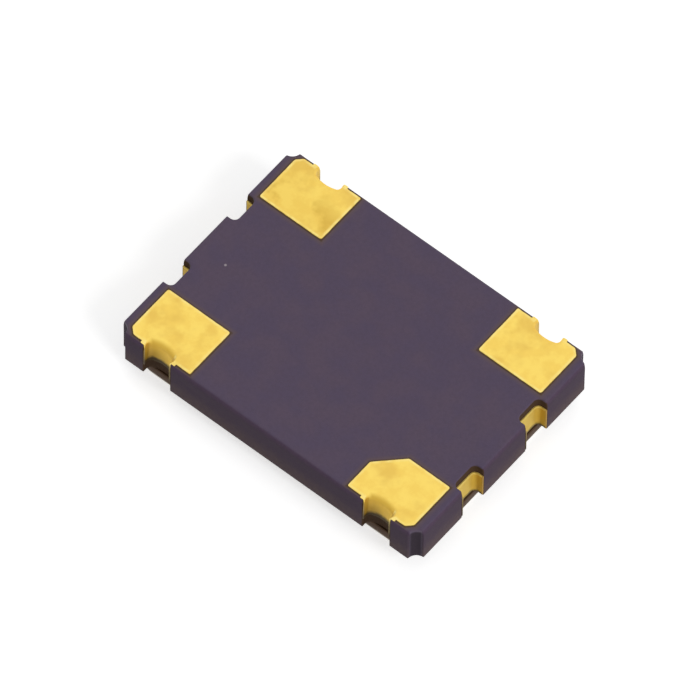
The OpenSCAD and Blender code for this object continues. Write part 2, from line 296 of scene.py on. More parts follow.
def wall_levels():
    """Levels of the body's walls, from the solder face down to the sealed face."""
    lean = Vector((-SCORE_IN, -SCORE_H)).normalized()
    rim = Vector((SCORE_IN, Z_FACE))
    knee = Vector((0.0, Z_FACE - SCORE_H))
    foot = Z_WALL + RIM_SEALED
    upper = bend((SCORE_IN + RIM_SIDE, Z_FACE), rim, rim + lean * RIM_SIDE, RIM_STEPS)
    turn = bend((1.0, 0.0), (0.0, 0.0), (0.0, 1.0), RIM_STEPS)
    levels = [Level(*snapped, *widened, 0.0, Z_FACE) for snapped, widened in zip(upper, turn)]
    plain = bend(knee - lean * SCORE_SOFT, knee, (0.0, knee.y - SCORE_SOFT), KNEE_STEPS)
    plain += line((0.0, knee.y - SCORE_SOFT), (0.0, foot), WALL_STEPS)[1:]
    levels += [Level(inset, z, 0.0, 0.0, 0.0, z) for inset, z in plain]
    lower = bend((0.0, foot), (0.0, Z_WALL), (RIM_SEALED, Z_WALL), FOOT_STEPS)[1:]
    return levels + [Level(inset, z, 0.0, 0.0, inset, z) for inset, z in lower]


def side_inset(z):
    """How far the scored side of the body lies in at height z."""
    return SCORE_IN * (1 - min(max(Z_FACE - z, 0.0) / SCORE_H, 1.0))


# ---- The body's outline at one level ----

def side_outline(half, notches, level):
    """One side of the body with the corner before it: points (u, v, z, share), u along it and v
    inwards. share is 0 on the snapped side and 1 in a notch."""
    points = []

    def add(curve, enters, leaves, rims=None):
        """Adds a curve on which the share goes from enters to leaves."""
        for i, ((u, v), rim) in enumerate(zip(curve, rims or [RIM_NOTCH] * len(curve))):
            share = enters + (leaves - enters) * i / (len(curve) - 1)
            notch_z = level.notch_z - rim * level.drop
            if i or not points:
                points.append((u, v, level.side_z + (notch_z - level.side_z) * share, share))

    def widening(rim):
        return level.grow + rim * level.spread

    inset, soft = level.inset, CUSP_SOFT
    radius = CORNER_R + widening(RIM_NOTCH)
    reach = math.sqrt(radius ** 2 - inset ** 2)
    cut_off = math.degrees(soft / radius + math.asin(inset / radius))
    turn = arc((-half, 0), radius, 90 - cut_off, cut_off, CORNER_STEPS)
    start = reach - half
    add(bend((inset - half, reach + soft), (inset - half, reach), turn[0], CUSP_STEPS), 0, 1)
    add(turn, 1, 1)
    add(bend(turn[-1], (start, inset), (start + soft, inset), CUSP_STEPS), 1, 0)
    steps = END_STEPS
    for centre, slot, rim_at in notches:
        rims = [rim_at(i) for i in range(SPINE_LAST + 1)]
        at_mouth = rims[:1] * (CUSP_STEPS + 1)
        wall = []
        for i, rim in enumerate(rims):
            u, v, nu, nv = slot_wall(i, slot, inset + soft)
            wall.append((centre + u + nu * widening(rim), v + nv * widening(rim)))
        left, right = wall[0][0], wall[-1][0]
        add(line((start + soft, inset), (left - soft, inset), steps), 0, 0)
        add(bend((left - soft, inset), (left, inset), wall[0], CUSP_STEPS), 0, 1, at_mouth)
        add(wall, 1, 1, rims)
        add(bend(wall[-1], (right, inset), (right + soft, inset), CUSP_STEPS), 1, 0, at_mouth)
        start, steps = right, MIDDLE_STEPS
    add(line((start + soft, inset), (half - reach - soft, inset), END_STEPS), 0, 0)
    return points


def on_side(side, u, v):
    """Place in plan at u along a side and v in from it. Sides 0 to 3 face -Y, +X, +Y and -X."""
    return ((u, v - HALF_W), (HALF_L - v, u), (-u, HALF_W - v), (v - HALF_L, -u))[side]


def body_ring(level):
    """The body's outline as (x, y, z) points at one level of its walls."""
    side_slot, end_slot = punched(SIDE_SLOT), punched(END_SLOT)
    long_side = [(u, side_slot, lambda i: wrap_radius(i) - UNDER_WRAP) for u in (-PAD_X, PAD_X)]
    short_side = [(u, end_slot, lambda i: RIM_NOTCH) for u in (-CONTACT_Y, CONTACT_Y)]
    middle = (Z_WALL + Z_FACE) / 2
    snapped_zone = max(0.0, 1 - abs(level.side_z - middle) / (Z_FACE - middle - SCORE_H / 2))
    ring = []
    for side in range(4):
        half, notches = (HALF_L, long_side) if side % 2 == 0 else (HALF_W, short_side)
        for u, v, z, share in side_outline(half, notches, level)[:-1]:
            rough = 0.5 + 0.5 * wave(RIPPLE_PATTERN, u, level.side_z, side)
            v += (1 - share) * RIPPLE * rough * snapped_zone
            ring.append((*on_side(side, u, v), z))
    return ring


# ---- Mesh building, in millimetres ----

# Distance for merging vertices, and degrees from which an edge stays sharp
MERGE = 1e-5
SHARP = 40


def add_ring(bm, points):
    return [bm.verts.new(p) for p in points]


def flat_ring(bm, outline, z):
    return add_ring(bm, [(x, y, z) for x, y in outline])


def bridge(bm, rows, closed=True):
    """Joins each row of vertices with the one after it by quads."""
    for row, following in zip(rows, rows[1:]):
        for i in range(len(row) if closed else len(row) - 1):
            j = (i + 1) % len(row)
            bm.faces.new((row[i], row[j], following[j], following[i]))


def fill_between(bm, outer, inner):
    """Flat face between two closed rings."""
    edges = []
    for ring in (outer, inner):
        for i, vert in enumerate(ring):
            pair = (vert, ring[(i + 1) % len(ring)])
            edges.append(bm.edges.get(pair) or bm.edges.new(pair))
    bmesh.ops.triangle_fill(bm, edges=edges, use_beauty=True)


def link_object(name, data):
    """Object in the scene that shows data."""
    made = bpy.data.objects.new(name, data)
    bpy.context.scene.collection.objects.link(made)
    return made


def make_piece(name, bm, material, slot, *nodes):
    """Turns a mesh in millimetres into a piece of the part that stands for its CAD nodes."""
    bmesh.ops.remove_doubles(bm, verts=bm.verts, dist=MERGE)
    bmesh.ops.recalc_face_normals(bm, faces=bm.faces)
    bmesh.ops.scale(bm, vec=(MM,) * 3, verts=bm.verts)
    mesh = bpy.data.meshes.new(name)
    bm.to_mesh(mesh)
    bm.free()
    mesh.shade_smooth()
    mesh.set_sharp_from_angle(angle=math.radians(SHARP))
    piece = link_object(name, mesh)
    mesh.materials.append(material)
    piece.modifiers.new("even_shading", "WEIGHTED_NORMAL").keep_sharp = True
    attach(piece, "root")
    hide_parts(*nodes)


# ---- Ceramic body ----

def ceramic_mesh():
    """Outer walls with soft scored edges, and the stepped cavity that the lid closes."""
    bm = bmesh.new()
    rings = [add_ring(bm, body_ring(level)) for level in wall_levels()]
    bridge(bm, rings)
    bm.faces.new(rings[0])
    cavity = rounded_rect(*CAVITY)
    pocket = [(x + POCKET_X, y) for x, y in rounded_rect(*POCKET)]
    mouth, shelf = (flat_ring(bm, cavity, z) for z in (Z_WALL, Z_SHELF))
    step, floor = (flat_ring(bm, pocket, z) for z in (Z_SHELF, Z_FLOOR))
    bridge(bm, [mouth, shelf])
    bridge(bm, [step, floor])
    fill_between(bm, rings[-1], mouth)
    fill_between(bm, shelf, step)
    bm.faces.new(floor)
    return bm


# ---- Solder terminals: each pad wraps over the rim of its slot and lines it ----

def edge_levels(edge):
    """Levels (inwards, thinner) of a plated layer's soft end, from the outermost one in."""
    turns = [math.radians(90 - 90 * j / EDGE_STEPS) for j in range(EDGE_STEPS + 1)]
    return [(edge * (1 - math.sin(t)), edge * (1 - math.cos(t))) for t in turns]


def ragged(i, seed):
    """Uneven limit of the plating at point i of a slot's wall."""
    return PLATE_RAGGED * (0.5 + 0.5 * wave(PLATE_PATTERN, i, seed, 1))


def line_slot(bm, slot, edge, profile, side, u0, closed=True):
    """Builds plating round a slot, with soft ends at both mouths, and returns its rows of vertices.
    profile(i, thinner) gives the points (offset, z) of a section, offset from the slot's wall."""
    levels = edge_levels(edge)
    stops = [(0, inwards, thinner) for inwards, thinner in levels[:-1]]
    stops += [(i, edge, 0.0) for i in range(SPINE_LAST + 1)]
    stops += [(SPINE_LAST, inwards, thinner) for inwards, thinner in reversed(levels[:-1])]
    rows = []
    for i, inwards, thinner in stops:
        row = []
        for offset, z in profile(i, thinner):
            u, v, nu, nv = slot_wall(i, slot, side_inset(z) + inwards)
            row.append((*on_side(side, u0 + u + nu * offset, v + nv * offset), z))
        rows.append(add_ring(bm, row))
    bridge(bm, rows, closed)
    bm.faces.new(rows[0])
    bm.faces.new(rows[-1])
    return rows


def pad_corners(side, outer, key):
    """Corners (u, v, reach) of a pad's free edge at one end, 1 or -1, from its slot's mouth inwards.
    outer is the end that faces the body's corner, and key is the bevel of pin 1."""
    half, tab, soft = PAD_L / 2, TAB_L / 2, PAD_CORNER
    corners = [(SIDE_SLOT.width / 2 + wrap_radius(0) + WRAP_FLAT, SCORE_IN, 0)]
    corners += [(tab, SCORE_IN, TAB_CORNER), (tab, PAD_MARGIN, TAB_ROOT)]
    if side == outer:
        corners += [(half - PAD_BEVEL, PAD_MARGIN, soft), (half, PAD_MARGIN + PAD_BEVEL, soft)]
    else:
        corners += [(half, PAD_MARGIN, soft)]
    if key and side != outer:
        corners += [(half, PAD_INNER - key, soft), (half - key, PAD_INNER, soft)]
    else:
        corners += [(half, PAD_INNER, PAD_R)]
    return [(side * u, v, reach) for u, v, reach in corners]


def pad_outline(outer, key, seed):
    """Free edge of a pad, from the right mouth of its slot round to the left."""
    corners = pad_corners(1, outer, key) + pad_corners(-1, outer, key)[::-1]
    points = soft_outline(corners)
    wavy = []
    for i, (p, n) in enumerate(zip(points, shifted(points, 1.0))):
        from_end = min(i, len(points) - 1 - i)
        fade = min(1.0, max(from_end - 1, 0) / PAD_FADE_STEPS)
        amount, shift = PAD_RAGGED, wave(PAD_PATTERN, *p, seed)
        if abs(p[0]) < TAB_L / 2 + TAB_ZONE_U and p[1] < PAD_MARGIN + TAB_ZONE_V:
            amount, shift = PAD_RAGGED_TAB, max(shift, 0.0)
        wavy.append(tuple(a + (b - a) * amount * fade * shift for a, b in zip(p, n)))
    return wavy


def terminal_mesh(side, u0, key, seed):
    """A pad with its tab, its wrap over the rim of its slot, and the slot's lining."""

    def profile(i, thinner):
        low = Z_SHELF + ragged(i, seed)
        wrap = wrap_radius(i)
        rim = Z_TOP - wrap
        lip = low + PLATE_EDGE
        points = [(wrap + WRAP_FLAT, Z_TOP - thinner)]
        points += arc((wrap, rim), wrap - thinner, 90, 180, WRAP_STEPS)
        points += line((thinner, rim), (thinner, lip), LINING_STEPS)[1:]
        points += bend((thinner, lip), (thinner, low), (thinner + PLATE_EDGE, low), LIP_STEPS)[1:]
        points += [(PLATING, low)]
        points += bend((PLATING, rim), (PLATING, Z_FACE), (wrap, Z_FACE), RIM_STEPS)
        return points + [(wrap + WRAP_FLAT, Z_FACE)]

    bm = bmesh.new()
    rows = line_slot(bm, SIDE_SLOT, PAD_EDGE, profile, side, u0, closed=False)
    outline = pad_outline(math.copysign(1, u0), key, seed)
    levels = [(0.0, Z_FACE)]
    levels += [(inwards, Z_TOP - thinner) for inwards, thinner in edge_levels(PAD_EDGE)]
    edges = []
    for inwards, z in levels:
        edge = [(*on_side(side, u0 + u, v), z) for u, v in shifted(outline, inwards)]
        edges.append(add_ring(bm, edge))
    bridge(bm, edges, closed=False)
    top_of_wrap = [row[0] for row in rows[EDGE_STEPS + 1:len(rows) - EDGE_STEPS - 1]]
    foot_of_wrap = [row[-1] for row in rows[1:-1]]
    bm.faces.new(edges[-1] + top_of_wrap)
    bm.faces.new(edges[0] + foot_of_wrap)
    return bm


# ---- Plating in the slots of the short ends ----

def contact_mesh(side, u0, seed):
    """Lining of an end slot, which starts below the pad layer."""

    def profile(i, thinner):
        top = contact_high.z + PLATE_CREEP - thinner - ragged(i, seed)
        low = contact_low.z + thinner + ragged(i, seed + LOWER_SEED)
        front = thinner + PLATE_EDGE
        upper, lower = top - PLATE_EDGE, low + PLATE_EDGE
        points = [(PLATING, top), (front, top)]
        points += bend((front, top), (thinner, top), (thinner, upper), LIP_STEPS)[1:]
        points += line((thinner, upper), (thinner, lower), CONTACT_STEPS)[1:]
        points += bend((thinner, lower), (thinner, low), (front, low), LIP_STEPS)[1:]
        return points + [(PLATING, low)]

    bm = bmesh.new()
    line_slot(bm, END_SLOT, PLATE_EDGE, profile, side, u0)
    return bm


# ---- Seal ring, braze and lid ----

def frame_mesh(loops_at):
    """Closed band swept round rounded rectangles: (size, inwards, z) for each loop."""
    bm = bmesh.new()
    loops = [flat_ring(bm, inset_rect(size, inwards), z) for size, inwards, z in loops_at]
    bridge(bm, loops + loops[:1])
    return bm


def ring_mesh():
    """Ring with softened edges on both sides."""
    outer = (2 * ring_high.x, 2 * ring_high.y, RING_R)
    inner = (outer[0] - 2 * RING_BAND, outer[1] - 2 * RING_BAND, RING_INNER_R)
    low, high, soft = ring_low.z, ring_high.z, METAL_EDGE
    outside = bend((soft, low), (0, low), (0, low + soft), EDGE_STEPS)
    outside += bend((0, high - soft), (0, high), (soft, high), EDGE_STEPS)
    inside = bend((-soft, high), (0, high), (0, high - soft), EDGE_STEPS)
    inside += bend((0, low + soft), (0, low), (-soft, low), EDGE_STEPS)
    return frame_mesh([(outer, *p) for p in outside] + [(inner, *p) for p in inside])


def braze_mesh():
    """Fillet of braze in the seam between ring and ceramic, slightly hollow on its outer side."""
    size = (2 * ring_high.x, 2 * ring_high.y, RING_R)
    low, high = braze_low.z, braze_high.z
    hollow = (BRAZE_HOLLOW, (low + high) / 2)
    inside = ring_high.y - braze_high.y + BRAZE_BAND
    profile = bend((BRAZE_IN, low), hollow, (BRAZE_IN, high), EDGE_STEPS)
    profile += [(inside, high), (inside, low)]
    return frame_mesh([(size, *p) for p in profile])


def lid_mesh():
    """Flat plate whose outer edge was rolled in by the seam weld."""
    size = (2 * lid_high.x, 2 * lid_high.y, RING_R - (ring_high.x - lid_high.x))
    low, high = lid_low.z, lid_high.z
    plate_end, slope_start = WELD_BAND + WELD_SOFT, WELD_BAND - WELD_SOFT
    lip, upright = low + WELD_DROP, low + WELD_UPRIGHT
    profile = bend((plate_end, low), (WELD_BAND, low), (slope_start, low + WELD_SOFT_DROP), EDGE_STEPS)
    profile += bend((WELD_LIP, lip), (0.0, lip + WELD_LIP_DROP), (0.0, upright), EDGE_STEPS + 1)
    profile += bend((0.0, high - PLATE_EDGE), (0.0, high), (PLATE_EDGE, high), LIP_STEPS)
    bm = bmesh.new()
    loops = [flat_ring(bm, inset_rect(size, inwards), z) for inwards, z in profile]
    bridge(bm, loops)
    bm.faces.new(loops[0])
    bm.faces.new(loops[-1])
    return bm


# ---- Shader nodes, with places in millimetres ----

# A noise by its node's inputs, with its scale per millimetre
Pattern = namedtuple("Pattern", "Scale Detail Roughness")
# A smooth step of a value: rise() gives foot up to low and top from high on, and fall() the reverse
Step = namedtuple("Step", "low high top foot", defaults=(1.0, 0.0))


def connect(tree, value, socket):
    """Sets a socket to a value, or links it to a signal."""
    if isinstance(value, Signal):
        tree.links.new(value.socket, socket)
    else:
        socket.default_value = value


def add_node(tree, kind, inputs, **settings):
    """Adds a node whose inputs are values or signals."""
    node = tree.nodes.new(kind)
    for key, value in settings.items():
        setattr(node, key, value)
    for key, value in inputs.items():
        connect(tree, value, node.inputs[key])
    return node


def calculate(operation, *values):
    """What a math node makes of values and signals."""
    tree = next(value.tree for value in values if isinstance(value, Signal))
    return Signal(add_node(tree, "ShaderNodeMath", dict(enumerate(values)), operation=operation))


class Signal:
    """What a node gives out. Arithmetic with it adds math nodes, and comparisons give 1 or 0."""

    def __init__(self, node, output=0):
        self.tree = node.id_data
        self.socket = node.outputs[output]

    def __add__(self, other):
        return calculate("ADD", self, other)

    def __sub__(self, other):
        return calculate("SUBTRACT", self, other)

    def __rsub__(self, other):
        return calculate("SUBTRACT", other, self)

    def __mul__(self, other):
        return calculate("MULTIPLY", self, other)

    def __abs__(self):
        return calculate("ABSOLUTE", self)

    def __gt__(self, other):
        return calculate("GREATER_THAN", self, other)

    def __lt__(self, other):
        return calculate("LESS_THAN", self, other)


def largest(first, *others):
    for other in others:
        first = calculate("MAXIMUM", first, other)
    return first


def mixed(share, first, second):
    """Number between first and second."""
    return share * (second - first) + first


def smoothly(value, step, below, above):
    """Goes smoothly from one number to another over a step of a value."""
    inputs = {"Value": value, "From Min": step.low, "From Max": step.high}
    inputs.update({"To Min": below, "To Max": above})
    return Signal(add_node(value.tree, "ShaderNodeMapRange", inputs, interpolation_type="SMOOTHSTEP"))


def rise(value, step):
    return smoothly(value, step, step.foot, step.top)


def fall(value, step):
    return smoothly(value, step, step.top, step.foot)


class Shader:
    """A material under construction."""

    def __init__(self, name):
        self.material = bpy.data.materials.new(name)
        self.material.use_nodes = True
        self.tree = self.material.node_tree
        coordinates = Signal(self.tree.nodes.new("ShaderNodeTexCoord"), "Object")
        self.place = self.signal("ShaderNodeMapping", {"Vector": coordinates, "Scale": (1 / MM,) * 3})
        separate = add_node(self.tree, "ShaderNodeSeparateXYZ", {0: self.place})
        self.x, self.y, self.z = (Signal(separate, i) for i in range(3))

    def signal(self, kind, inputs, output=0, **settings):
        return Signal(add_node(self.tree, kind, inputs, **settings), output)

    def noise(self, pattern, place=None):
        inputs = {"Vector": place or self.place, **pattern._asdict()}
        return self.signal("ShaderNodeTexNoise", inputs, "Fac")

    def place_math(self, operation, vector, output=0):
        """What a vector math node makes of the place and another vector."""
        inputs = {0: self.place, 1: vector}
        return self.signal("ShaderNodeVectorMath", inputs, output, operation=operation)

    def layered(self, colour, *layers):
        """Colour under layers of others, each given with its share."""
        for share, over in layers:
            inputs = {0: share, 6: colour, 7: over}
            colour = self.signal("ShaderNodeMix", inputs, 2, data_type="RGBA")
        return colour

    def bump(self, height, distance, strength, under=None):
        """Normal of a height in 0..1 over a distance in millimetres, on top of another normal."""
        inputs = {"Height": height, "Distance": distance * MM, "Strength": strength}
        if under:
            inputs["Normal"] = under
        return self.signal("ShaderNodeBump", inputs)

    def surface(self, **inputs):
        """Sets or links the surface's own sockets, an underscore standing for a space."""
        shader = self.tree.nodes["Principled BSDF"]
        for key, value in inputs.items():
            connect(self.tree, value, shader.inputs[key.replace("_", " ")])
        return self.material


def srgb(*display):
    """Linear colour of a display colour given in 0 to 255."""
    channels = (c / 255 for c in display)
    return (*(c / 12.92 if c <= 0.04045 else ((c + 0.055) / 1.055) ** 2.4 for c in channels), 1.0)


# Noise values over which colours and roughness change in every material
CLOUDY = Step(0.35, 0.65)
ROUGHENS = (0.3, 0.7)
# Specular level of broken and stained surfaces
BROKEN_GLOSS = 0.12


# ---- Where a point of the surface is, for the ceramic and the gold ----

# Turns a sum of two distances into one across a bevel, and pushes a bevel out of the way
SLANT = math.sqrt(0.5)
FAR = 9.0


def past_sides(s):
    """Distances beyond the body's ends and beyond its long sides, negative inside."""
    return abs(s.x) - HALF_L, abs(s.y) - HALF_W


def pad_distance(s):
    """Distance in plan outside the nearest solder pad, negative on the pad itself."""
    half_u, half_v = PAD_L / 2, (PAD_INNER - PAD_MARGIN) / 2
    off_u = abs(s.x) - PAD_X
    off_v = abs(s.y) - (HALF_W - PAD_MARGIN - half_v)
    past_bevel = (off_u + off_v - (half_u + half_v - PAD_BEVEL)) * SLANT
    past_key = (off_u + off_v + (half_u + half_v - KEY_BEVEL)) * -SLANT
    pin_1 = (s.x > 0.0) * (s.y < 0.0)
    past_key += (pin_1 - 1.0) * FAR
    return largest(abs(off_u) - half_u, abs(off_v) - half_v, past_bevel, past_key)


# ---- Ceramic: dark face, scored and snapped sides, punched walls ----

# The face as fired, its blemishes, and a dark outline with a warm halo round the pads
CERAMIC_COOL = srgb(76, 63, 86)
CERAMIC_WARM = srgb(81, 66, 85)
CERAMIC_DEEP = srgb(68, 55, 74)
CERAMIC_PALE = srgb(102, 88, 106)
CERAMIC_HALO = srgb(98, 78, 68)
CERAMIC_OUTLINE = srgb(70, 50, 28)
SPECK_COLOUR = srgb(176, 166, 170)
# The sides, scored at the top and snapped below, and the punched walls
SCORED = srgb(84, 67, 86)
SNAPPED = srgb(74, 62, 74)
# The sides turn lighter and warmer towards the bottom
SNAPPED_LOW = srgb(93, 79, 80)
# A brown for the punched slot walls, darkened with painted shade deep in the slots
SLOT_WALL_SHADED = srgb(72, 53, 38)
# Painted shade in the hollow of the corner castellations
CORNER_SHADE = srgb(54, 46, 55)

CERAMIC_GRAIN = Pattern(34.0, 2.0, 0.7)
CERAMIC_FLECKS = Pattern(13.0, 3.0, 0.65)
CERAMIC_CLOUDS = Pattern(1.6, 4.0, 0.55)
FLECKS_DEEPEN = Step(0.38, 0.66, top=0.30)
GRAIN_PALES = Step(0.50, 0.74, top=0.22)
FLECKS_BUMP = (0.004, 0.5)
GRAIN_BUMP = (0.003, 0.7)

CERAMIC_ROUGH = Step(*ROUGHENS, top=0.66, foot=0.50)
BROKEN_ROUGHER = 0.25
FACE_GLOSS = 0.42

# Over distances outside a pad
OUTLINE_FADES = Step(0.014, 0.046, top=0.9)
HALO_FADES = Step(0.030, 0.130, top=0.45)
SPECK = (-2.82, -0.23, Z_FACE)
SPECK_FADES = Step(0.012, 0.034, top=0.75)
# Over distances beyond the body's sides
SIDE_STARTS = Step(-0.05, -0.03)
# Over distances beside and behind a slot, behind a corner castellation, and over the product of the
# distances from its two sides
SLOT_BESIDE = Step(0.030, 0.055)
SLOT_BEHIND = Step(0.06, 0.09)
CORNER_BEHIND = Step(0.0, 0.03)
CORNER_MIDDLE = Step(0.0, 0.4 * CORNER_R ** 2)
# Over depths below the face
FACE_SKIN = 0.02
SIDE_SHOWS = Step(0.0, 0.04)
SCORE_ENDS = Step(0.02, 0.18)
SNAP_PALES = Step(0.36, Z_FACE - Z_WALL - 0.02)
SLOT_SHOWS = Step(0.01, 0.05)
CORNER_SHOWS = Step(0.03, 0.12)


def slot_walls(s, depth):
    """1 on the walls of the slots, where their painted shade goes, and 0 elsewhere."""

    def at_slot(along, centre, past_side, slot):
        beside = abs(abs(along) - centre) - slot.width / 2
        behind = (past_side + slot.depth) * -1.0
        return fall(beside, SLOT_BESIDE) * fall(behind, SLOT_BEHIND)

    past_end, past_side = past_sides(s)
    at_pads = at_slot(s.x, PAD_X, past_side, SIDE_SLOT)
    at_ends = at_slot(s.y, CONTACT_Y, past_end, END_SLOT)
    return largest(at_pads, at_ends) * rise(depth, SLOT_SHOWS)


def corner_walls(s, depth):
    """1 in the middle of a corner castellation, where its painted shade is deepest, and 0 at its edges
    and elsewhere.
    """
    past_end, past_side = past_sides(s)
    from_corner = calculate("SQRT", past_end * past_end + past_side * past_side)
    at_corner = fall(from_corner - CORNER_R, CORNER_BEHIND)
    middle = rise(past_end * past_side, CORNER_MIDDLE)
    return at_corner * middle * rise(depth, CORNER_SHOWS)


def ceramic_material():
    s = Shader("dark_alumina")
    grain = s.noise(CERAMIC_GRAIN)
    flecks = s.noise(CERAMIC_FLECKS)
    depth = Z_FACE - s.z
    side_wall = rise(largest(*past_sides(s)), SIDE_STARTS) * rise(depth, SIDE_SHOWS)
    slots, corners = slot_walls(s, depth), corner_walls(s, depth)
    broken = largest(side_wall, slots, corners)
    on_face = depth < FACE_SKIN
    from_pad = pad_distance(s)
    side = s.layered(SCORED, (rise(depth, SCORE_ENDS), SNAPPED), (rise(depth, SNAP_PALES), SNAPPED_LOW))
    return s.surface(
        Base_Color=s.layered(
            CERAMIC_COOL,
            (rise(s.noise(CERAMIC_CLOUDS), CLOUDY), CERAMIC_WARM),
            (side_wall, side),
            (rise(flecks, FLECKS_DEEPEN), CERAMIC_DEEP),
            (rise(grain, GRAIN_PALES), CERAMIC_PALE),
            (fall(from_pad, HALO_FADES) * on_face, CERAMIC_HALO),
            (fall(from_pad, OUTLINE_FADES) * on_face, CERAMIC_OUTLINE),
            # Painted shade on the punched walls of the slots
            (slots, SLOT_WALL_SHADED),
            # Painted shade, deepest in the middle of each corner castellation
            (corners, CORNER_SHADE),
            (fall(s.place_math("DISTANCE", SPECK, "Value"), SPECK_FADES), SPECK_COLOUR),
        ),
        Roughness=broken * BROKEN_ROUGHER + rise(grain, CERAMIC_ROUGH),
        Specular_IOR_Level=mixed(broken, FACE_GLOSS, BROKEN_GLOSS),
        Normal=s.bump(grain, *GRAIN_BUMP, under=s.bump(flecks, *FLECKS_BUMP)),
    )


# ---- Plating: what the gold and the ring share ----

PLATE_GRAIN = Pattern(40.0, 2.0, 0.6)
PLATE_CLOUDS = Pattern(3.4, 4.0, 0.6)
PLATE_GRAIN_BUMP = (0.0022, 0.55)
PLATE_CLOUDS_BUMP = (0.004, 0.35)


def plate_normal(s, clouds):
    """Fine crystalline grain over soft unevenness."""
    return s.bump(s.noise(PLATE_GRAIN), *PLATE_GRAIN_BUMP, under=s.bump(clouds, *PLATE_CLOUDS_BUMP))


# ---- Gold: pads, lining of the slots, and the lining's cut edge ----

GOLD = srgb(254, 221, 110)
GOLD_DEEP = srgb(249, 213, 103)
GOLD_STAIN = srgb(230, 189, 89)
GOLD_SMUDGED = srgb(218, 178, 76)
# Painted highlight: along the pads' edges, on the near slots' right jamb and along the end slots' top
# edge
GOLD_HIGHLIGHT = srgb(254, 230, 138)
GOLD_GRAZING = srgb(250, 232, 170)
# The near slots' lining, painted light at its right, painted shade at its left, deeper painted shade low
# at its left and painted shade at the rim, and the far slots' lining, painted lighter than the near
# slots'
LINING_RIGHT_LIT = srgb(246, 208, 84)
LINING_LEFT_SHADE = srgb(212, 172, 58)
LINING_LOW_SHADE = srgb(176, 140, 50)
LINING_RIM_SHADE = srgb(208, 170, 68)
LINING_FAR = srgb(240, 208, 110)
# The end slots' lining, and its right corner, darkened with painted shade
LINING_END = srgb(220, 190, 90)
LINING_END_SHADE = srgb(204, 165, 50)
# Streaks and painted deep shade on every lining, and its cut edge at the body's side, a painted
# highlight that darkens lower down
LINING_STREAK = srgb(196, 160, 78)
LINING_DEEP_SHADE = srgb(46, 32, 16)
# The cut edge: a pale painted highlight, its painted shade lower down, and its colour at the end slots
CUT_HIGHLIGHT = srgb(168, 146, 98)
CUT_LOW_SHADE = srgb(88, 76, 62)
CUT_END = srgb(172, 135, 64)

PAD_MARKS = Pattern(1.5, 3.0, 0.50)
PAD_SMUDGES = Pattern(2.1, 3.0, 0.55)
HIGHLIGHT_PATTERN = Pattern(5.0, 2.0, 0.6)
STREAKS = Pattern(8.0, 2.0, 0.5)
STREAKS_STRETCH = (1.0, 1.0, 0.3)
DEEP_SHADE_LIMIT = Pattern(7.0, 3.0, 0.6)
DEEP_SHADE_UNEVEN = 0.12
CLOUDS_DEEPEN = Step(0.40, 0.62)
MARKS_SHOW = Step(0.48, 0.67, top=0.62)
SMUDGES_SHOW = Step(0.42, 0.62, top=0.9, foot=0.2)
HIGHLIGHT_SHOWS = Step(0.36, 0.62, top=0.95, foot=0.30)
STREAKS_SHOW = Step(0.36, 0.62, top=0.22)

PAD_ROUGH = Step(*ROUGHENS, top=0.43, foot=0.31)
LINING_ROUGHER = 0.16
PAD_METAL = 0.85
LINING_METAL = 0.45
# Share of the metal that is left under the painted highlight at the near slots' right jamb and under the
# painted deep shade
JAMB_METAL = 0.5
DEEP_SHADE_METAL = 0.1
PAD_GLOSS = 0.50

# Over y, and over distances outside a pad
SMUDGES_THIN = Step(pad_low.y + 0.2, pad_low.y + 0.9, foot=0.25)
RIM_HIGHLIGHT = Step(-0.070, -0.020)
# Over depths below the pads' face
PAD_SKIN = 0.015
LINING_STARTS = Step(0.03, 0.12)
RIM_SHADE_ENDS = Step(0.05, 0.18)
LEFT_DARKENS = Step(0.10, 0.45)
JAMB_STARTS = Step(0.005, 0.03)
CUT_STARTS = Step(0.06, 0.14, top=0.9)
CUT_DARKENS = Step(0.24, 0.52)
# The cut edge at a near slot's right gets painted shade as dark as if it lay deeper
CUT_DEEPER = 0.16
# Over places along a slot's wall
ALONG_SIDE_SLOT = Step(-SIDE_SLOT.width / 2, SIDE_SLOT.width / 2)
RIGHT_JAMB = Step(SIDE_SLOT.width / 2 - 0.04, SIDE_SLOT.width / 2 - 0.01)
END_DIMS = Step(0.12, END_W / 2)
CUT_TURNS = Step(-0.1, 0.1)
# The end slots' painted deep shade is lower to the right
END_SHADE_LOWER = Step(-END_W / 2, 0.0, top=0.07, foot=-0.04)
# Over heights above the lining's far end for its painted deep shade, and over depths below its upper end
# in the end slots for a painted highlight
DEEP_SHADE_FADES = Step(0.14, 0.26, top=0.95)
TOP_EDGE_FADES = Step(0.03, 0.08, top=0.35)
# Over distances beyond the body's sides
CUT_EDGE = Step(-0.026, -0.012)
# The end slots' zone reaches this far behind their floor
END_ZONE = 0.06
# A near slot's painted shade on its pad starts from an outline that is narrower than the slot and bowed
SHADE_FADES = Step(0.01, 0.12)
SHADE_NARROWER = 0.075
SHADE_BOW = 0.8

# 1 at the short ends, 1 in the half at -Y, 1 at the side slots of that half, and the place along a
# slot's wall from its left end to its right, as seen from outside
SlotPlace = namedtuple("SlotPlace", "at_end near near_side along")


def slot_place(s):
    past_end, _ = past_sides(s)
    at_end = past_end > -END_D - END_ZONE
    near = s.y < 0.0
    hand = calculate("SIGN", s.x * s.y)
    along_side = (PAD_X - abs(s.x)) * hand
    along_end = (abs(s.y) - CONTACT_Y) * hand
    return SlotPlace(at_end, near, near * (1.0 - at_end), mixed(at_end, along_side, along_end))


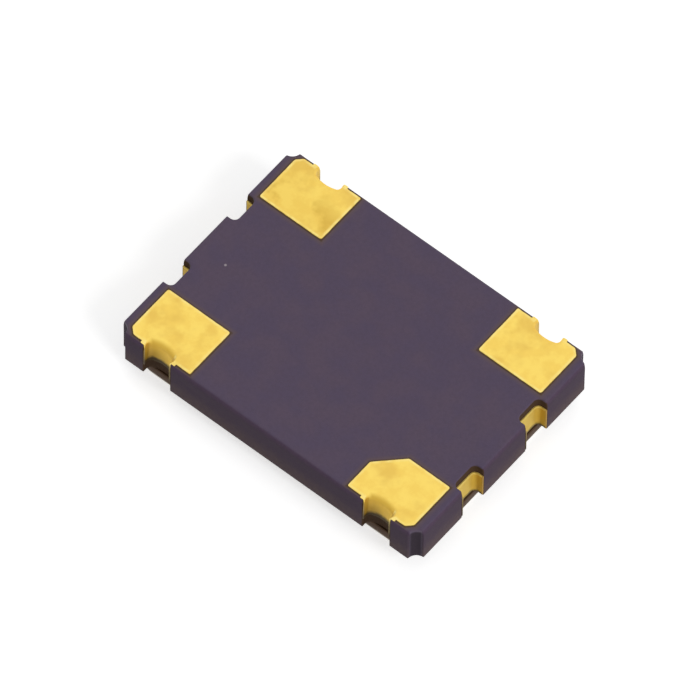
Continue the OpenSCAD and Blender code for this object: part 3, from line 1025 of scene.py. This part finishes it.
def slot_shade(s, spot):
    """1 next to the near slots, whose painted shade reaches out over their rounded rim, and 0 elsewhere.
    """
    _, past_side = past_sides(s)
    beside = abs(spot.along) - (SIDE_SLOT.width / 2 - SHADE_NARROWER)
    behind = spot.along * spot.along * SHADE_BOW - (past_side + SIDE_SLOT.depth)
    return fall(largest(beside, behind), SHADE_FADES) * spot.near_side


def pad_colour(s, clouds, spot):
    """Cloudy gold with smudges, a painted highlight along the pads' edges and painted shade next to the
    near slots.
    """
    output_pad = (s.x < 0.0) * (s.y > 0.0)
    smudges = output_pad * rise(s.noise(PAD_SMUDGES), SMUDGES_SHOW) * fall(s.y, SMUDGES_THIN)
    rim = rise(pad_distance(s), RIM_HIGHLIGHT) * (s.z > Z_TOP - PAD_SKIN)
    return s.layered(
        GOLD,
        (rise(clouds, CLOUDS_DEEPEN), GOLD_DEEP),
        (rise(s.noise(PAD_MARKS), MARKS_SHOW), GOLD_STAIN),
        (smudges, GOLD_SMUDGED),
        # Painted highlight along the pads' edges, broken up by noise
        (rim * rise(s.noise(HIGHLIGHT_PATTERN), HIGHLIGHT_SHOWS), GOLD_HIGHLIGHT),
        # Painted shade over the near slots' rounded rim
        (slot_shade(s, spot), LINING_RIM_SHADE),
    )


def lining_colour(s, depth, spot):
    """Gold of the slots' walls, each part painted as light as it lies to the light, with a painted
    highlight along the end slots' top edge and painted shade below the near slots' rim.
    """
    # Near slots: painted shade at the left and deeper low down, painted light at the right
    left = s.layered(LINING_LEFT_SHADE, (rise(depth, LEFT_DARKENS), LINING_LOW_SHADE))
    near_wall = s.layered(left, (rise(spot.along, ALONG_SIDE_SLOT), LINING_RIGHT_LIT))
    # End slots: painted shade in the right corner
    end_wall = s.layered(LINING_END, (rise(spot.along, END_DIMS), LINING_END_SHADE))
    streaks = rise(s.noise(STREAKS, s.place_math("MULTIPLY", STREAKS_STRETCH)), STREAKS_SHOW)
    below_top = (contact_high.z + PLATE_CREEP) - s.z
    return s.layered(
        LINING_FAR,
        (spot.near, near_wall),
        (spot.at_end, end_wall),
        (streaks, LINING_STREAK),
        # Painted highlight along the end slots' top edge
        (fall(below_top, TOP_EDGE_FADES) * spot.at_end, GOLD_HIGHLIGHT),
        # Painted shade below the near slots' rim
        (fall(depth, RIM_SHADE_ENDS) * spot.near_side, LINING_RIM_SHADE),
    )


def deep_shade(s, spot):
    """How far the lining gets painted deep shade: up to an uneven limit above its far end."""
    above = s.z + s.noise(DEEP_SHADE_LIMIT) * DEEP_SHADE_UNEVEN - mixed(spot.at_end, Z_SHELF, contact_low.z)
    above += spot.at_end * rise(spot.along, END_SHADE_LOWER)
    return fall(above, DEEP_SHADE_FADES)


def cut_colour(s, depth, spot):
    """The lining's cut edge: a pale painted highlight, darker with painted shade further down."""
    at_right = (spot.along > 0.0) * spot.near_side
    return s.layered(
        CUT_HIGHLIGHT,
        (rise(depth + at_right * CUT_DEEPER, CUT_DARKENS), CUT_LOW_SHADE),
        (rise(spot.along, CUT_TURNS) * spot.at_end, CUT_END),
    )


def gold_material():
    """Soft gold plating on the pads and in the slots."""
    s = Shader("gold_plating")
    clouds = s.noise(PLATE_CLOUDS)
    depth = Z_TOP - s.z
    spot = slot_place(s)
    lining = rise(depth, LINING_STARTS)
    jamb = rise(spot.along, RIGHT_JAMB) * spot.near_side * rise(depth, JAMB_STARTS)
    deep_shaded = deep_shade(s, spot)
    cut_edge = rise(largest(*past_sides(s)), CUT_EDGE) * rise(depth, CUT_STARTS)
    metal = mixed(lining, PAD_METAL, LINING_METAL) * mixed(jamb, 1.0, JAMB_METAL)
    return s.surface(
        Base_Color=s.layered(
            pad_colour(s, clouds, spot),
            (lining, lining_colour(s, depth, spot)),
            # Painted highlight on the near slots' right jamb, whose metal is dulled there
            (jamb, GOLD_HIGHLIGHT),
            # Painted deep shade over the lining's lower end, where its metal is dulled
            (deep_shaded, LINING_DEEP_SHADE),
            (cut_edge, cut_colour(s, depth, spot)),
        ),
        Metallic=metal * mixed(deep_shaded, 1.0, DEEP_SHADE_METAL),
        Roughness=lining * LINING_ROUGHER + rise(clouds, PAD_ROUGH),
        Specular_IOR_Level=mixed(deep_shaded, PAD_GLOSS, BROKEN_GLOSS),
        Specular_Tint=GOLD_GRAZING,
        Normal=plate_normal(s, clouds),
    )


# ---- Seal ring and its braze: dull brown plate, painted dark for the shade it lies in near the floor ----

# A dull brown that paints the ring's shade near the floor, with darker mottle
RING_SHADED = srgb(82, 60, 42)
RING_DEEP = srgb(72, 52, 37)
RING_STAIN = srgb(58, 43, 31)
RING_MARKS = Pattern(1.9, 5.0, 0.62)
RING_DEEPENS = Step(0.36, 0.68, top=0.55)
RING_STAINED = Step(0.60, 0.74, top=0.5)
RING_ROUGH = Step(*ROUGHENS, top=0.57, foot=0.45)
RING_METAL = 0.3
RING_GLOSS = 0.1


def ring_material():
    s = Shader("ring_plating")
    clouds = s.noise(PLATE_CLOUDS)
    return s.surface(
        Base_Color=s.layered(
            RING_SHADED,
            (rise(clouds, RING_DEEPENS), RING_DEEP),
            (rise(s.noise(RING_MARKS), RING_STAINED), RING_STAIN),
        ),
        Metallic=RING_METAL,
        Roughness=rise(clouds, RING_ROUGH),
        Specular_IOR_Level=RING_GLOSS,
        Normal=plate_normal(s, clouds),
    )


# ---- Lid: nickel plate, drawn bright, with a duller rippled band where the seam weld ran ----

NICKEL = srgb(208, 205, 198)
NICKEL_DEEP = srgb(201, 198, 190)
NICKEL_LINE = srgb(186, 183, 176)
NICKEL_WELD = srgb(170, 162, 150)
LID_CLOUDS = Pattern(1.4, 3.0, 0.5)
LID_LINES = Pattern(2.0, 3.0, 0.6)
LID_STRETCH = (0.6, 14.0, 14.0)
LINES_DARKEN = Step(0.45, 0.75, top=0.35)
LINES_BUMP = (0.0015, 0.5)
LID_ROUGH = Step(*ROUGHENS, top=0.36, foot=0.26)
# The weld's band over distances beyond the lid's edge, and its ripples in radians per millimetre
WELD_STARTS = Step(-WELD_BAND - WELD_SOFT, -WELD_BAND + WELD_SOFT)
WELD_DULLS = 0.7
WELD_ROUGHER = 0.14
WELD_RIPPLE = 55.0
WELD_BUMP = (0.0020, 0.6)


def lid_material():
    s = Shader("nickel_plating")
    lines = s.noise(LID_LINES, s.place_math("MULTIPLY", LID_STRETCH))
    weld = rise(largest(abs(s.x) - lid_high.x, abs(s.y) - lid_high.y), WELD_STARTS)
    ripples = calculate("SINE", (s.x + s.y) * WELD_RIPPLE)
    return s.surface(
        Base_Color=s.layered(
            NICKEL,
            (rise(s.noise(LID_CLOUDS), CLOUDY), NICKEL_DEEP),
            (rise(lines, LINES_DARKEN), NICKEL_LINE),
            (weld * WELD_DULLS, NICKEL_WELD),
        ),
        Metallic=1.0,
        Roughness=weld * WELD_ROUGHER + rise(lines, LID_ROUGH),
        Normal=s.bump(ripples * weld, *WELD_BUMP, under=s.bump(lines, *LINES_BUMP)),
    )


# ---- What the closed package hides: finely mottled materials ----

# Display colours, fineness of the mottle per millimetre, roughness, metallic share, transmission
Plain = namedtuple("Plain", "first second scale roughness metallic transmission")
HIDDEN = {
    "quartz": Plain((232, 238, 240), (222, 230, 233), 5.0, 0.18, 0.0, 0.8),
    "electrode_film": Plain((214, 216, 218), (200, 203, 206), 8.0, 0.14, 1.0, 0.0),
    "silver_adhesive": Plain((176, 172, 164), (150, 146, 138), 20.0, 0.55, 0.6, 0.0),
    "silicon": Plain((84, 92, 104), (98, 92, 96), 12.0, 0.22, 0.4, 0.0),
    "aluminium_pads": Plain((216, 218, 220), (204, 206, 208), 30.0, 0.30, 1.0, 0.0),
    "gold_wire": Plain((246, 208, 96), (236, 196, 84), 30.0, 0.22, 1.0, 0.0),
}
MOTTLE_ROUGHENS = 0.06
MOTTLE_FINER = 6
MOTTLE_BUMP = (0.002, 0.4)


def plain_material(name, look):
    s = Shader(name)
    mottle = s.noise(Pattern(look.scale, 4.0, 0.6))
    finer = s.noise(Pattern(look.scale * MOTTLE_FINER, 2.0, 0.6))
    rough = Step(*ROUGHENS, look.roughness + MOTTLE_ROUGHENS, look.roughness - MOTTLE_ROUGHENS)
    return s.surface(
        Base_Color=s.layered(srgb(*look.first), (rise(mottle, CLOUDY), srgb(*look.second))),
        Metallic=look.metallic,
        Roughness=rise(mottle, rough),
        Transmission_Weight=look.transmission,
        Normal=s.bump(finer, *MOTTLE_BUMP),
    )


# ---- Pieces that replace their CAD nodes ----

gold = gold_material()
ring_metal = ring_material()

make_piece("ceramic", ceramic_mesh(), ceramic_material(), "alumina", "ceramic_body")

terminals = [
    ("enable", 0, PAD_X, KEY_BEVEL), ("ground", 0, -PAD_X, 0),
    ("output", 2, PAD_X, 0), ("supply", 2, -PAD_X, 0),
]
for seed, (pin, side, u0, key) in enumerate(terminals):
    make_piece(f"pad_{pin}", terminal_mesh(side, u0, key, seed), gold, "gold_plating", f"terminal_{pin}")

contacts = [(1, -CONTACT_Y), (3, CONTACT_Y), (3, -CONTACT_Y), (1, CONTACT_Y)]
for number, (side, u0) in enumerate(contacts, 1):
    mesh = contact_mesh(side, u0, number)
    make_piece(f"slot_plating_{number}", mesh, gold, "gold_plating", f"test_contact_{number}")

make_piece("seal_frame", ring_mesh(), ring_metal, "plated_kovar", "seal_ring")
make_piece("braze_fillet", braze_mesh(), ring_metal, "braze", "seal_braze")
make_piece("lid_plate", lid_mesh(), lid_material(), "nickel_kovar", "lid")


# ---- Pieces inside the closed package, which keep their CAD shapes ----

materials = {slot: plain_material(slot, look) for slot, look in HIDDEN.items()}
materials["gold_plating"] = gold
for part in frame["record"]["subparts"]:
    node = frame["nodes"][part["node"]]
    if not node.hide_render:
        node.data.materials.clear()
        node.data.materials.append(materials[part["material_slot"]])


# ---- Floor, camera and light ----

FLOOR_Z = -0.000004
FLOOR_PAPER = (0.80, 0.80, 0.80, 1.0)
FLOOR_GLOW = 0.55
WORLD_WHITE = (1.0, 1.0, 1.0, 1.0)
WORLD_LEVEL = 0.40
# Turn, height and roll in degrees, metres, lens and sensor in millimetres, and aim in millimetres to
# the right of and above the middle of the solder face
CAMERA_ANGLES = (38.60, 58.36, 0.89)
CAMERA_DISTANCE = 0.300
CAMERA_LENS, CAMERA_SENSOR = 856.7, 36.0
CAMERA_AIM = (-0.077, -0.153)
CAMERA_CLIP = (0.01, 10.0)


def sees_white(tree):
    """1 for the camera, reflections and refractions, which see a white studio, else 0."""
    rays = tree.nodes.new("ShaderNodeLightPath")
    kinds = ("Is Camera Ray", "Is Glossy Ray", "Is Transmission Ray")
    return largest(*(Signal(rays, kind) for kind in kinds))


def white_floor():
    """Floor that keeps the shadow and looks white where it isn't shaded."""
    corners = [(-1, -1, FLOOR_Z), (1, -1, FLOOR_Z), (1, 1, FLOOR_Z), (-1, 1, FLOOR_Z)]
    mesh = bpy.data.meshes.new("floor")
    mesh.from_pydata(corners, [], [range(4)])
    material = bpy.data.materials.new("floor_white")
    material.use_nodes = True
    tree = material.node_tree
    tree.nodes.clear()
    paper = add_node(tree, "ShaderNodeBsdfDiffuse", {"Color": FLOOR_PAPER})
    glow = add_node(tree, "ShaderNodeEmission", {"Strength": sees_white(tree) * FLOOR_GLOW})
    both = add_node(tree, "ShaderNodeAddShader", {0: Signal(paper), 1: Signal(glow)})
    add_node(tree, "ShaderNodeOutputMaterial", {"Surface": Signal(both)})
    material.cycles.emission_sampling = "NONE"
    mesh.materials.append(material)
    floor = link_object("floor", mesh)


def world_light():
    """Even white light, and a white backdrop for the camera."""
    world = bpy.data.worlds.new("studio")
    bpy.context.scene.world = world
    world.use_nodes = True
    tree = world.node_tree
    background = tree.nodes["Background"]
    background.inputs["Color"].default_value = WORLD_WHITE
    connect(tree, mixed(sees_white(tree), WORLD_LEVEL, 1.0), background.inputs["Strength"])
    world.cycles.sampling_method = "NONE"


def softbox(name, direction, distance, size, power):
    """Square lamp at a distance from the part, facing it."""
    lamp = bpy.data.lights.new(name, "AREA")
    lamp.shape = "SQUARE"
    lamp.size = size
    lamp.energy = power
    holder = link_object(name, lamp)
    holder.location = Vector(direction).normalized() * distance
    holder.rotation_euler = (-Vector(direction)).to_track_quat("-Z", "Y").to_euler()
    holder.visible_glossy = False


def add_camera():
    """Long lens from the front right and above, as in the photograph."""
    azimuth, elevation, roll = map(math.radians, CAMERA_ANGLES)
    flat = math.cos(elevation)
    back = Vector((math.sin(azimuth) * flat, -math.cos(azimuth) * flat, math.sin(elevation)))
    right = Matrix.Rotation(roll, 3, back) @ Vector((math.cos(azimuth), math.sin(azimuth), 0.0))
    up = back.cross(right)
    aim = Vector((0.0, 0.0, Z_FACE * MM)) + right * CAMERA_AIM[0] * MM + up * CAMERA_AIM[1] * MM
    data = bpy.data.cameras.new("camera")
    data.sensor_width = CAMERA_SENSOR
    data.lens = CAMERA_LENS
    data.clip_start, data.clip_end = CAMERA_CLIP
    camera = link_object("camera", data)
    rotation = Matrix((right, up, back)).transposed().to_4x4()
    camera.matrix_world = Matrix.Translation(aim + back * CAMERA_DISTANCE) @ rotation
    bpy.context.scene.camera = camera


white_floor()
world_light()
softbox("overhead", (-0.33, 0.41, 0.85), distance=0.30, size=0.30, power=0.15)
softbox("key", (0.85, -0.12, 0.60), distance=0.32, size=0.16, power=0.47)
add_camera()

bpy.context.scene.view_settings.view_transform = "Standard"
